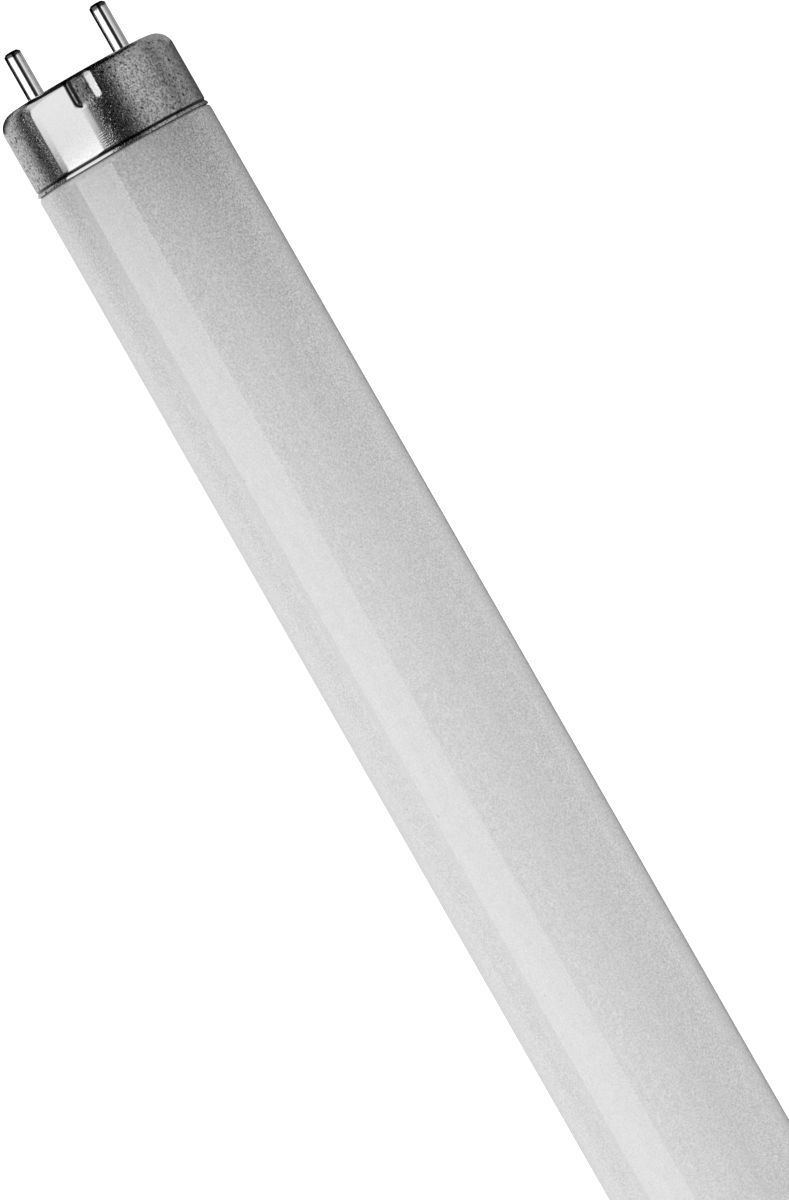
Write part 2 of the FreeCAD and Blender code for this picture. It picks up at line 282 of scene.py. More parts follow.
def use_group(tree, group, vector, **values):
    """Places a node group in a tree. Its vector is linked and its other inputs are plain numbers."""
    node = tree.nodes.new("ShaderNodeGroup")
    node.node_tree = group
    wire_up(tree, vector, node.inputs["Vector"])
    for label, value in values.items():
        node.inputs[label.replace("_", " ")].default_value = value
    return node.outputs[0]


def new_material(name):
    """A material with only a Principled BSDF, and its node tree."""
    material = bpy.data.materials.new(name)
    material.use_nodes = True
    return material, material.node_tree, material.node_tree.nodes["Principled BSDF"]


def grey(tree, value, socket):
    """Feeds one value to all three parts of a colour."""
    colour = tree.nodes.new("ShaderNodeCombineColor")
    for part in ("Red", "Green", "Blue"):
        wire_up(tree, value, colour.inputs[part])
    wire_up(tree, colour.outputs[0], socket)


def raised(tree, height, distance, strength, shader):
    """A Bump node from a height, in front of a shader's normal."""
    bump = tree.nodes.new("ShaderNodeBump")
    bump.inputs["Distance"].default_value = distance
    bump.inputs["Strength"].default_value = strength
    wire_up(tree, height, bump.inputs["Height"])
    wire_up(tree, bump.outputs["Normal"], shader.inputs["Normal"])


COATING_GREY = 0.82
END_SHADE_REACH = 20 * MM
CAP_RIM_X = FACE_X - 11.4 * MM
# How deep the painted shade near the caps is at the rim, how bright the powder is with painted
# light across it, and how grainy, from the back of the tube (-1) over its top (0) to its front (1).
END_SHADE_DEPTHS = [(-1.0, 0.16), (-0.88, 0.20), (-0.72, 0.34), (0.2, 0.44), (0.68, 0.55), (0.9, 0.45)]
POWDER_TONES_WITH_PAINTED_LIGHT = [(-1.0, 1.0), (0.25, 1.02), (0.5, 0.94), (0.7, 0.96), (0.86, 1.03), (1.0, 1.0)]
POWDER_GRAIN = [
    (-1.0, 0.34), (-0.7, 0.34), (-0.6, 0.16), (-0.25, 0.16), (-0.1, 0.28), (0.4, 0.32), (0.8, 0.5),
    (1.0, 0.5),
]


def tone_ramp(tree, value, stops, low, high):
    """A tone that depends on a value, given as (value, tone) stops joined by straight lines."""
    node = tree.nodes.new("ShaderNodeValToRGB")
    ramp = node.color_ramp
    ramp.interpolation = "LINEAR"
    while len(ramp.elements) < len(stops):
        ramp.elements.new(0.5)
    for element, (place, tone) in zip(ramp.elements, stops):
        element.position = (place - low) / (high - low)
        element.color = (tone, tone, tone, 1)
    wire_up(tree, mapped(tree, value, low, high), node.inputs[0])
    split = tree.nodes.new("ShaderNodeSeparateColor")
    wire_up(tree, node.outputs["Color"], split.inputs[0])
    return split.outputs[0]


def make_coated_glass():
    """White powder seen through clear glass, with painted shade near the caps, where they keep light from
    the powder.

    The painted shade falls off as exp(-d / reach) with the distance d from the cap's rim, and is
    deeper on the front of the tube, away from the key light, than on the back.
    """
    material, tree, shader = new_material("coated_glass")
    place = object_place(tree)
    along, across = lamp_place(tree, place)[:2]
    # Painted shade near each cap: deepest at the rim and on the front of the tube.
    from_rim = math_node(tree, "SUBTRACT", CAP_RIM_X, math_node(tree, "ABSOLUTE", along))
    from_rim = math_node(tree, "MAXIMUM", from_rim, 0.0)
    fading = math_node(tree, "EXPONENT", math_node(tree, "DIVIDE", from_rim, -END_SHADE_REACH))
    side = math_node(tree, "MULTIPLY", across, -1 / GLASS_RADIUS)
    painted_end_shade = math_node(tree, "MULTIPLY", fading, tone_ramp(tree, side, END_SHADE_DEPTHS, -1.0, 1.0))
    blotch = use_group(tree, grain, place, Per_Metre=900.0, Stretch=1.5)
    powder = use_group(tree, grain, place, Per_Metre=4200.0, Stretch=1.0)
    streak = use_group(tree, grain, place, Per_Metre=700.0, Stretch=40.0)
    pinhole = use_group(tree, specks, place, Per_Metre=260.0, Radius=0.055, Share=0.16)
    tone = math_node(tree, "MULTIPLY", math_node(tree, "SUBTRACT", 1.0, painted_end_shade), COATING_GREY)
    # Painted light near the front edge of the tube, where the floor's bounce falls; the powder is also
    # darker over the middle of the front.
    tone = math_node(tree, "MULTIPLY", tone, tone_ramp(tree, side, POWDER_TONES_WITH_PAINTED_LIGHT, -1.0, 1.0))
    # The grain is strongest where the painted shade is deepest.
    strength = mapped(tree, painted_end_shade, 0.0, 0.5, 2.8, 6.4)
    strength = math_node(tree, "MULTIPLY", strength, tone_ramp(tree, side, POWDER_GRAIN, -1.0, 1.0))
    unevenness = math_node(tree, "MULTIPLY", math_node(tree, "SUBTRACT", powder, 0.5), strength)
    tone = math_node(tree, "MULTIPLY", tone, math_node(tree, "ADD", 1.0, unevenness))
    tone = math_node(tree, "MULTIPLY", tone, mapped(tree, blotch, 0.3, 0.7, 0.975, 1.025))
    tone = math_node(tree, "MULTIPLY", tone, mapped(tree, streak, 0.3, 0.7, 0.98, 1.02))
    tone = math_node(tree, "MULTIPLY", tone, mapped(tree, pinhole, 0, 1, 1.0, 0.72))
    grey(tree, tone, shader.inputs["Base Color"])
    shader.inputs["Roughness"].default_value = 0.9
    shader.inputs["Specular IOR Level"].default_value = 0.0
    shader.inputs["Coat Weight"].default_value = 1.0
    shader.inputs["Coat Roughness"].default_value = 0.04
    shader.inputs["Coat IOR"].default_value = 1.6
    return material


coated_glass = make_coated_glass()
glass_tube.data.materials.append(coated_glass)
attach(glass_tube, "root")
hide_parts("glass_tube")


# The lead wires: drawn nickel wire, melted through the stem and bent out to the pins.
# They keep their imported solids, which show only when a cap is cut open.

WIRE_GREY = 0.50


def finish_node(node, material):
    """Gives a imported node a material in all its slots."""
    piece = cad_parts[node]
    if not piece.material_slots:
        piece.data.materials.append(material)
    for slot in piece.material_slots:
        slot.material = material


def make_drawn_wire():
    """Bare wire with fine draw lines along it, as grain stretched along the lamp."""
    material, tree, shader = new_material("drawn_wire")
    place = object_place(tree)
    lines = use_group(tree, grain, place, Per_Metre=9000.0, Stretch=30.0)
    tone = mapped(tree, lines, 0.3, 0.7, WIRE_GREY * 0.85, WIRE_GREY * 1.1)
    grey(tree, tone, shader.inputs["Base Color"])
    shader.inputs["Metallic"].default_value = 1.0
    wire_up(tree, mapped(tree, lines, 0.3, 0.7, 0.28, 0.4), shader.inputs["Roughness"])
    return material


drawn_wire = make_drawn_wire()
for node in [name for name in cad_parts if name.startswith("lead_wire")]:
    finish_node(node, drawn_wire)


# The cement: resin filled with mineral powder, pressed into the cap as a ring and
# baked, so that it swells against the glass neck. It stays as packed too.

CEMENT_GREY = 0.30


def make_baked_cement():
    """Crumbly baked resin: dark and pale grains and pores from two noises."""
    material, tree, shader = new_material("baked_cement")
    place = object_place(tree)
    crumbs = use_group(tree, grain, place, Per_Metre=1400.0, Stretch=1.0)
    pores = use_group(tree, specks, place, Per_Metre=900.0, Radius=0.35, Share=0.4)
    tone = mapped(tree, crumbs, 0.3, 0.7, CEMENT_GREY * 0.7, CEMENT_GREY * 1.3)
    tone = math_node(tree, "MULTIPLY", tone, mapped(tree, pores, 0, 1, 1.0, 0.5))
    grey(tree, tone, shader.inputs["Base Color"])
    shader.inputs["Roughness"].default_value = 0.95
    raised(tree, crumbs, 0.2 * MM, 0.6, shader)
    return material


finish_node("cement", make_baked_cement())


# The caps: thin aluminium sheet drawn into a cup, with a round window in its face, two
# index notches pressed into its shoulder, and a bead rolled in above the flared rim.
# Each slides over the neck of the bulb onto the cement.

CAP_RADIUS = 12.53 * MM
CAP_WALL = 0.3 * MM
CAP_RIM = -11.4 * MM
CAP_SHOULDER = 2.4 * MM
WINDOW_RADIUS = 9.75 * MM
LIP_FLARE = 0.12 * MM
BEAD_PLACE = -10.82 * MM
BEAD_WIDTH = 0.36 * MM
BEAD_DEPTH = 0.15 * MM
NOTCH_FLOOR = 2.05 * MM
NOTCH_STEEP_WALL = 1.02 * MM
NOTCH_GENTLE_WALL = 0.90 * MM
NOTCH_DEPTH = 0.62 * MM
NOTCH_MIDDLE = -3.9 * MM
NOTCH_RUN_OUT = 1.2 * MM
NOTCH_START = -0.2 * MM
NOTCH_RUN_IN = 0.5 * MM
# The columns of points round the cap, in degrees: close together over each notch.
DENSE_HALF = 16
DENSE_STEP = 0.35
SPARSE_COLUMNS = 110


def smooth_step(share):
    """Rises from 0 to 1 as 3 s squared less 2 s cubed, and stays there outside."""
    share = np.clip(share, 0, 1)
    return share * share * (3 - 2 * share)


def cap_columns():
    """Angles round the cap, about the axis from straight up, closer together over the two notches."""
    dense = np.radians(np.arange(-DENSE_HALF, DENSE_HALF, DENSE_STEP))
    sparse = np.radians(np.linspace(DENSE_HALF, 180 - DENSE_HALF, SPARSE_COLUMNS, endpoint=False))
    half = np.concatenate([dense, sparse])
    return np.concatenate([half, half + math.pi])


def cap_profile():
    """The middle of the sheet, from the window's edge over the shoulder to the rim, with its normals.

    Radius against place along the lamp: flat face, quarter circle, straight skirt, a bead
    sunk as a cosine and a lip flared as a smooth step.
    """
    middle = CAP_RADIUS - CAP_WALL / 2
    bend = CAP_SHOULDER - CAP_WALL / 2
    face = -CAP_WALL / 2
    radius = np.linspace(WINDOW_RADIUS, middle - bend, 5)
    flat = np.stack([np.full_like(radius, face), radius], axis=1)
    turn = np.linspace(0, math.pi / 2, 30)[1:]
    curve = np.stack([face - bend * (1 - np.cos(turn)), middle - bend * (1 - np.sin(turn))], axis=1)
    by_notch = np.arange(face - bend - 0.15 * MM, -5.4 * MM, -0.12 * MM)
    along = np.concatenate([by_notch, np.linspace(-5.5 * MM, -9.9 * MM, 12)])
    straight = np.stack([along, np.full_like(along, middle)], axis=1)
    along = np.linspace(-9.98 * MM, CAP_RIM, 34)
    sunk = BEAD_DEPTH * 0.5 * (1 + np.cos(np.clip((along - BEAD_PLACE) / BEAD_WIDTH, -1, 1) * math.pi))
    flared = LIP_FLARE * smooth_step((BEAD_PLACE - 0.1 * MM - along) / (0.4 * MM))
    end = np.stack([along, middle - sunk + flared], axis=1)
    path = np.vstack([flat, curve, straight, end])
    step = np.gradient(path, axis=0)
    step /= np.linalg.norm(step, axis=1)[:, None]
    normal = np.stack([step[:, 1], -step[:, 0]], axis=1)
    return path, normal


def notch_depth(along, across):
    """How deep the notches are pressed in: a floor between a steep wall and a gentle one.

    With t falling from 1 at the floor to 0 at a wall's top, the steep wall is as deep as
    t to the power 2.6 and the gentle one nearly as t. Smooth steps fade both ends.
    """
    steep = np.clip(1 - (across - NOTCH_FLOOR / 2) / NOTCH_STEEP_WALL, 0, 1) ** 2.6
    even = np.clip(1 + (across + NOTCH_FLOOR / 2) / NOTCH_GENTLE_WALL, 0, 1)
    gentle = 0.6 * even + 0.4 * smooth_step(even)
    run_out = smooth_step((along - NOTCH_MIDDLE) / NOTCH_RUN_OUT + 0.5)
    run_in = smooth_step((NOTCH_START - along) / NOTCH_RUN_IN)
    return NOTCH_DEPTH * steep * gentle * run_out * run_in


def make_cap_shell(end):
    path, normal = cap_profile()
    angle = cap_columns()
    # The angle off the nearer notch, turned round with it at the bottom.
    away = np.arctan2(np.sin(angle), np.abs(np.cos(angle))) * np.sign(np.cos(angle))
    across = path[:, 1][:, None] * np.sin(away)
    sunk = notch_depth(path[:, 0][:, None], across)
    pressed = path[:, None, :] - np.stack([np.zeros_like(sunk), sunk], axis=2)
    outer = pressed + normal[:, None, :] * CAP_WALL / 2
    inner = pressed - normal[:, None, :] * CAP_WALL / 2
    sheet = np.concatenate([outer, inner[::-1]], axis=0)
    along, radius = sheet[:, :, 0], sheet[:, :, 1]
    rows = np.stack([along, radius * np.sin(angle), radius * np.cos(angle)], axis=2)
    return skin(f"drawn_cap_{end}", at_end(rows, end), closed=True)


ALUMINIUM_GREY = 0.67
# Places across the notch from its middle: its creased foot and its brow on the steep side,
# and the middle of its gentle wall. Then places behind the cap's face.
CREASE_PLACE = 1.20 * MM
BROW_PLACE = 1.85 * MM
WALL_PLACE = 1.48 * MM
NOTCH_FADES = (3.6 * MM, 4.3 * MM)
SHOULDER_FADES = (1.4 * MM, 3.0 * MM)
RIPPLE_START = (7.6 * MM, 8.6 * MM)
RIPPLE_PITCH = 0.32 * MM


def between(tree, share, first, second):
    """Mixes two tones or colours by a share."""
    node = tree.nodes.new("ShaderNodeMix")
    node.data_type = "RGBA"
    wire_up(tree, share, node.inputs["Factor"])
    for label, value in (("A", first), ("B", second)):
        socket = [item for item in node.inputs if item.name == label and item.type == "RGBA"][0]
        if isinstance(value, (int, float)):
            socket.default_value = (value, value, value, 1)
        else:
            wire_up(tree, value, socket)
    return [item for item in node.outputs if item.type == "RGBA"][0]


def off_from(tree, value, middle):
    """How far a value is from a middle, either way."""
    return math_node(tree, "ABSOLUTE", math_node(tree, "SUBTRACT", value, middle))


def make_drawn_aluminium():
    """Aged drawn sheet: mottled and pitted, rubbed clean on one side, with painted shade in its bead and
    the notches' creases.
    """
    material, tree, shader = new_material("drawn_aluminium")
    place = object_place(tree)
    along, across, up = lamp_place(tree, place)
    angle = math_node(tree, "ARCTAN2", across, up)
    aside = math_node(tree, "ABSOLUTE", across)
    behind_face = math_node(tree, "SUBTRACT", FACE_X, math_node(tree, "ABSOLUTE", along))
    # Positive towards a notch's steep wall, for the upper and lower notch of either cap.
    half_turn = math_node(tree, "SIGN", math_node(tree, "MULTIPLY", along, up))
    to_steep = math_node(tree, "MULTIPLY", across, half_turn)
    before_end = mapped(tree, behind_face, *NOTCH_FADES, 1.0, 0.0, smooth=True)
    in_notch = mapped(tree, aside, 1.0 * MM, 1.15 * MM, 1.0, 0.0, smooth=True)
    in_notch = math_node(tree, "MULTIPLY", in_notch, before_end)
    from_wall = off_from(tree, to_steep, -WALL_PLACE)
    on_wall = mapped(tree, from_wall, 0.36 * MM, 0.48 * MM, 1.0, 0.0, smooth=True)
    on_wall = math_node(tree, "MULTIPLY", on_wall, before_end)
    # Painted shade darkens the bead, the notch's steep crease and brow, and its mouth.
    from_bead = off_from(tree, behind_face, -BEAD_PLACE)
    bead_shade = mapped(tree, from_bead, 0.12 * MM, 0.30 * MM, 1.0, 0.0, smooth=True)
    from_crease = off_from(tree, to_steep, CREASE_PLACE)
    crease_shade = mapped(tree, from_crease, 0.14 * MM, 0.26 * MM, 1.0, 0.0, smooth=True)
    from_brow = off_from(tree, to_steep, BROW_PLACE)
    brow_shade = mapped(tree, from_brow, 0.06 * MM, 0.22 * MM, 0.85, 0.0, smooth=True)
    crease_shade = math_node(tree, "MAXIMUM", crease_shade, brow_shade)
    crease_shade = math_node(tree, "MULTIPLY", crease_shade, before_end)
    mouth_shade = mapped(tree, behind_face, 0.42 * MM, 0.60 * MM, 1.0, 0.0, smooth=True)
    mouth = mapped(tree, aside, 2.0 * MM, 2.3 * MM, 1.0, 0.0, smooth=True)
    mouth_shade = math_node(tree, "MULTIPLY", mouth_shade, mouth)
    painted_shade = math_node(tree, "MAXIMUM", math_node(tree, "MAXIMUM", bead_shade, crease_shade), mouth_shade)
    mottle = use_group(tree, grain, place, Per_Metre=1700.0, Stretch=1.0)
    fine = use_group(tree, grain, place, Per_Metre=3600.0, Stretch=1.0)
    pits = use_group(tree, specks, place, Per_Metre=1500.0, Radius=0.42, Share=0.30)
    stains = use_group(tree, specks, place, Per_Metre=800.0, Radius=0.28, Share=0.12)
    oxide = use_group(tree, specks, place, Per_Metre=2600.0, Radius=0.36, Share=0.5)
    holes = use_group(tree, specks, place, Per_Metre=1250.0, Radius=0.42, Share=0.6)
    # One side is rubbed clean and smooth, from the cap's top to 40 degrees off it: the back
    # of the right cap, and the front of the left one.
    back_turn = math_node(tree, "MULTIPLY", angle, math_node(tree, "SIGN", along))
    off_clean = off_from(tree, back_turn, math.radians(20))
    aged = mapped(tree, off_clean, math.radians(18), math.radians(23), 0.03, 1.0, smooth=True)
    aged = math_node(tree, "MAXIMUM", aged, in_notch)
    aged = math_node(tree, "MULTIPLY", aged, mapped(tree, on_wall, 0, 1, 1.0, 0.1))
    # Corrosion holes gather on the shoulder and low on the sides.
    shoulder = mapped(tree, behind_face, *SHOULDER_FADES, 1.0, 0.0, smooth=True)
    turned = math_node(tree, "ABSOLUTE", angle)
    low_side = mapped(tree, turned, math.radians(52), math.radians(60), smooth=True)
    holed = math_node(tree, "MULTIPLY", holes, math_node(tree, "MAXIMUM", shoulder, low_side))
    uneven = math_node(tree, "MULTIPLY", math_node(tree, "SUBTRACT", fine, 0.5), 3.9)
    mottled = math_node(tree, "MULTIPLY", math_node(tree, "SUBTRACT", mottle, 0.5), 1.3)
    uneven = math_node(tree, "MULTIPLY", math_node(tree, "ADD", uneven, mottled), aged)
    tone = math_node(tree, "MULTIPLY", math_node(tree, "ADD", 1.0, uneven), ALUMINIUM_GREY)
    spots = math_node(tree, "MULTIPLY", pits, 0.75)
    spots = math_node(tree, "MAXIMUM", spots, math_node(tree, "MULTIPLY", stains, 0.8))
    spots = math_node(tree, "MAXIMUM", spots, math_node(tree, "MULTIPLY", holed, 0.95))
    spots = math_node(tree, "MULTIPLY", spots, aged)
    tone = math_node(tree, "MULTIPLY", tone, math_node(tree, "SUBTRACT", 1.0, spots))
    # Painted shade on the notch's floor: darker towards its steep wall.
    shade = mapped(tree, to_steep, -1.0 * MM, 1.0 * MM, 0.72, 0.36)
    tone = math_node(tree, "MULTIPLY", tone, between(tree, in_notch, 1.0, shade))
    # Painted shade in the bead and in the notch's crease, brow and mouth.
    tone = math_node(tree, "MULTIPLY", tone, mapped(tree, painted_shade, 0, 1, 1.0, 0.06))
    grey(tree, tone, shader.inputs["Base Color"])
    shader.inputs["Metallic"].default_value = 1.0
    unpolished = mapped(tree, back_turn, math.radians(3), math.radians(9), 0.13, 0.08, smooth=True)
    roughness = math_node(tree, "MULTIPLY_ADD", aged, mapped(tree, fine, 0.3, 0.7, 0.01, 0.10), unpolished)
    roughness = math_node(tree, "ADD", roughness, math_node(tree, "MULTIPLY", in_notch, 0.12))
    dull = math_node(tree, "MULTIPLY", math_node(tree, "MULTIPLY", oxide, aged), 0.34)
    wire_up(tree, math_node(tree, "ADD", roughness, dull), shader.inputs["Roughness"])
    height = math_node(tree, "SUBTRACT", fine, math_node(tree, "MULTIPLY", pits, 0.5))
    height = math_node(tree, "ADD", height, math_node(tree, "MULTIPLY", oxide, 0.3))
    height = math_node(tree, "MULTIPLY", height, aged)
    # Die marks ripple across a patch of the skirt, above the bead and just off its top.
    wavy = math_node(tree, "ADD", behind_face, math_node(tree, "MULTIPLY", mottle, 0.5 * MM))
    ripple = math_node(tree, "SINE", math_node(tree, "MULTIPLY", wavy, 2 * math.pi / RIPPLE_PITCH))
    off_patch = off_from(tree, back_turn, math.radians(-3))
    patch = mapped(tree, off_patch, math.radians(4), math.radians(9), 1.0, 0.0, smooth=True)
    patch = math_node(tree, "MULTIPLY", patch, mapped(tree, behind_face, *RIPPLE_START, smooth=True))
    ripple = math_node(tree, "MULTIPLY", math_node(tree, "MULTIPLY", ripple, patch), 0.12)
    raised(tree, math_node(tree, "ADD", height, ripple), 0.035 * MM, 1.0, shader)
    return material


drawn_aluminium = make_drawn_aluminium()
for end in SIDES:
    cap_shell = make_cap_shell(end)
    cap_shell.data.materials.append(drawn_aluminium)
    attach(cap_shell, "root")
    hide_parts(f"cap_shell_{end}")


# The insulators: dark moulded plates clamped behind the cap's window, which keep the
# two pins apart. Only their smooth front shows, round the pins.

INSULATOR_GREY = 0.08


def make_moulding():
    """Dense moulded resin: a faint mottle, a skin that is smoother in places, and dust specks."""
    material, tree, shader = new_material("moulded_resin")
    place = object_place(tree)
    mottle = use_group(tree, grain, place, Per_Metre=900.0, Stretch=1.0)
    dust = use_group(tree, specks, place, Per_Metre=1300.0, Radius=0.3, Share=0.2)
    tone = mapped(tree, mottle, 0.3, 0.7, INSULATOR_GREY * 0.8, INSULATOR_GREY * 1.25)
    tone = math_node(tree, "ADD", tone, mapped(tree, dust, 0, 1, 0.0, 0.07))
    grey(tree, tone, shader.inputs["Base Color"])
    wire_up(tree, mapped(tree, mottle, 0.3, 0.7, 0.38, 0.55), shader.inputs["Roughness"])
    raised(tree, mottle, 0.05 * MM, 0.3, shader)
    return material


moulded_resin = make_moulding()
for end in SIDES:
    finish_node(f"insulator_{end}", moulded_resin)


# The contact pins: brass tube, bevelled at the tip, turned over behind the insulator
# and plated with nickel. Solder closes each tip over the end of its lead wire.

ROWS = {"front": -1, "back": 1}
PIN_PITCH = 12.7 * MM
PIN_RADIUS = 1.175 * MM
PIN_BORE = 0.75 * MM
PIN_TIP = 7.0 * MM
PIN_BEVEL = 0.35 * MM
SHANK_RADIUS = 0.95 * MM
RIVET_RADIUS = 1.65 * MM
PLATE_FRONT = -0.3 * MM
PLATE_BACK = -1.5 * MM
RIVET_END = -2.0 * MM
SOLDER_FOOT = 5.5 * MM
SOLDER_CROWN = 0.02 * MM
SOLDER_CLEAR = 0.01 * MM
PIN_COLUMNS = 72
LONGEST_RUN = 0.5 * MM


def pin_place(end, row):
    """Where a pin stands before at_end turns its end round: off the lamp's axis by half a pitch."""
    return [0, SIDES[end] * ROWS[row] * PIN_PITCH / 2, 0]


def divided(path, longest):
    """The same path with each long run cut into equal steps, so that its shading stays straight."""
    points = [path[:1]]
    for first, last in zip(path, path[1:]):
        steps = max(1, math.ceil(np.linalg.norm(last - first) / longest))
        share = np.linspace(0, 1, steps + 1)[1:, None]
        points.append(first * (1 - share) + last * share)
    return np.vstack(points)


def make_pin(end, row):
    """A pin as a turned outline: up the bore at its tip, down its outside, and back up the bore."""
    outline = softened_path(
        [
            (SOLDER_FOOT, PIN_BORE),
            (PIN_TIP, PIN_BORE),
            (PIN_TIP - PIN_BEVEL, PIN_RADIUS),
            (PLATE_FRONT, PIN_RADIUS),
            (PLATE_FRONT, SHANK_RADIUS),
            (PLATE_BACK, SHANK_RADIUS),
            (PLATE_BACK, RIVET_RADIUS),
            (RIVET_END, RIVET_RADIUS),
            (RIVET_END, PIN_BORE),
            (SOLDER_FOOT - 0.1 * MM, PIN_BORE),
        ],
        bends=[0.05 * MM, 0.06 * MM, 0.04 * MM, 0.03 * MM, 0.03 * MM, 0.1 * MM, 0.15 * MM, 0.08 * MM],
        steps=5,
    )
    rows = turned_rows(divided(outline, LONGEST_RUN), PIN_COLUMNS) + pin_place(end, row)
    return skin(f"plated_pin_{end}_{row}", at_end(rows, end), closed=True)


def make_solder(end, row):
    """The plug in a pin's tip, a hair clear of its bore, with a low crown."""
    outline = softened_path(
        [
            (SOLDER_FOOT, 0.1 * MM),
            (SOLDER_FOOT, PIN_BORE - SOLDER_CLEAR),
            (PIN_TIP - 0.03 * MM, PIN_BORE - SOLDER_CLEAR),
            (PIN_TIP + SOLDER_CROWN, 0.25 * MM),
            (PIN_TIP + SOLDER_CROWN, 0.05 * MM),
        ],
        bends=[0.05 * MM, 0.05 * MM, 0.1 * MM],
    )
    rows = turned_rows(outline, PIN_COLUMNS) + pin_place(end, row)
    return skin(f"solder_plug_{end}_{row}", at_end(rows, end))


NICKEL_GREY = 0.96
SOLDER_GREY = 0.30
TARNISH_START = 6.2 * MM


def make_nickel_plate():
    """Bright plating with faint scratches along the pin, and a dark film round its tip."""
    material, tree, shader = new_material("nickel_plate")
    place = object_place(tree)
    along = lamp_place(tree, place)[0]
    scratches = use_group(tree, grain, place, Per_Metre=5000.0, Stretch=25.0)
    stain = use_group(tree, grain, place, Per_Metre=1200.0, Stretch=1.0)
    tone = mapped(tree, scratches, 0.3, 0.7, NICKEL_GREY * 0.9, NICKEL_GREY * 1.06)
    tone = math_node(tree, "MULTIPLY", tone, mapped(tree, stain, 0.35, 0.65, 0.92, 1.02))
    beyond_face = math_node(tree, "SUBTRACT", math_node(tree, "ABSOLUTE", along), FACE_X)
    ragged = math_node(tree, "ADD", beyond_face, mapped(tree, stain, 0.3, 0.7, -0.25 * MM, 0.25 * MM))
    tarnish = mapped(tree, ragged, TARNISH_START - 0.1 * MM, TARNISH_START + 0.15 * MM, smooth=True)
    tone = math_node(tree, "MULTIPLY", tone, mapped(tree, tarnish, 0, 1, 1.0, 0.10))
    grey(tree, tone, shader.inputs["Base Color"])
    shader.inputs["Metallic"].default_value = 1.0
    wire_up(tree, mapped(tree, stain, 0.3, 0.7, 0.03, 0.07), shader.inputs["Roughness"])
    raised(tree, scratches, 0.01 * MM, 0.3, shader)
    return material


def make_solder_skin():
    """Tin solder that has set: a dull, slightly wrinkled grey metal."""
    material, tree, shader = new_material("set_solder")
    place = object_place(tree)
    wrinkle = use_group(tree, grain, place, Per_Metre=2600.0, Stretch=1.0)
    tone = mapped(tree, wrinkle, 0.3, 0.7, SOLDER_GREY * 0.8, SOLDER_GREY * 1.15)
    grey(tree, tone, shader.inputs["Base Color"])
    shader.inputs["Metallic"].default_value = 1.0
    wire_up(tree, mapped(tree, wrinkle, 0.3, 0.7, 0.35, 0.5), shader.inputs["Roughness"])
    raised(tree, wrinkle, 0.05 * MM, 0.5, shader)
    return material


nickel_plate = make_nickel_plate()
set_solder = make_solder_skin()
for end in SIDES:
    for row in ROWS:
        pin = make_pin(end, row)
        pin.data.materials.append(nickel_plate)
        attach(pin, "root")
        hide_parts(f"pin_{end}_{row}")
        solder = make_solder(end, row)
        solder.data.materials.append(set_solder)
        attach(solder, "root")
        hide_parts(f"solder_{end}_{row}")


# The studio: a white floor and a white surround for the camera. The metal and the glass
# reflect other tones, with a dark gap overhead next to the softbox.

FLOOR_HALF = 20.0
BACKDROP_GLOW = 0.82
FLOOR_GREY = 0.93
AMBIENT = 0.72
# A place in the studio is told by its lean: twice the angle, in degrees, that a mirror
# lies off level to the front or back when it shows that place to someone straight above.
# Beside the lamp that is the angle from straight up. It is negative over the back.
SKY_TONES = [
    (-180, 0.55), (-95, 0.06), (-40, 0.08), (-12, 0.12), (-4, 0.08), (3, 0.03), (12, 0.012), (20, 0.02),
    (28, 0.05), (33, 0.12), (38, 0.21), (43, 0.35), (50, 0.41), (72, 0.40), (76, 0.36), (81, 0.48),
    (88, 0.32), (96, 0.25), (180, 0.3),
]


world = bpy.data.worlds.new("studio")
bpy.context.scene.world = world
world.use_nodes = True
sky = world.node_tree
look = sky.nodes.new("ShaderNodeTexCoord").outputs["Generated"]
look_parts = sky.nodes.new("ShaderNodeSeparateXYZ")
wire_up(sky, look, look_parts.inputs[0])
towards_front = math_node(sky, "MULTIPLY", look_parts.outputs["Y"], -1.0)
from_nadir = math_node(sky, "ADD", look_parts.outputs["Z"], 1.0)
half_lean = math_node(sky, "ARCTAN2", towards_front, from_nadir)
sky_lean = math_node(sky, "MULTIPLY", half_lean, math.degrees(2))
sky_tone = tone_ramp(sky, sky_lean, SKY_TONES, -180, 180)
rays = sky.nodes.new("ShaderNodeLightPath")
seen = between(sky, rays.outputs["Is Glossy Ray"], AMBIENT, sky_tone)
seen = between(sky, rays.outputs["Is Camera Ray"], seen, 1.0)
wire_up(sky, seen, sky.nodes["Background"].inputs["Color"])
world.cycles.sampling_method = "NONE"

# How bright the floor looks in the metal. Beside the lamp and close under the pins, by
# the distance from the lamp's axis in millimetres, positive behind it. Beyond a cap, by
# the lean, so that the bands on its skirt run on straight over its shoulder.
FLOOR_TONES = [
    (-400, 0.26), (-113, 0.18), (-69, 0.22), (-48, 0.38), (-36, 0.30), (-27, 0.24), (-20, 0.12),
    (-14, 0.06), (-4, 0.05), (0, 0.10), (5, 0.75), (22, 0.62), (36, 0.60), (48, 0.48), (72, 0.20),
    (100, 0.06), (400, 0.05),
]
UNDER_PIN_TONES = [(-30, 0.35), (-5, 0.35), (-1, 0.03), (30, 0.03)]
BEYOND_TONES = [
    (-180, 0.60), (-148, 0.62), (-126, 0.60), (-117, 0.48), (-108, 0.20), (-103, 0.06), (-80, 0.06),
    (-76, 0.85), (-9, 0.85), (-5, 0.10), (3, 0.03), (12, 0.012), (20, 0.02), (28, 0.05), (33, 0.12),
    (38, 0.21), (43, 0.35), (50, 0.41), (72, 0.40), (81, 0.48), (88, 0.32), (101, 0.18), (109, 0.22),
    (117, 0.38), (126, 0.30), (138, 0.24), (153, 0.12), (180, 0.06),
]
PIN_FLOOR_FROM = (-0.8 * MM, -0.3 * MM)
PIN_FLOOR_TO = (8 * MM, 9 * MM)
PIN_FLOOR_HALF = (22 * MM, 24 * MM)
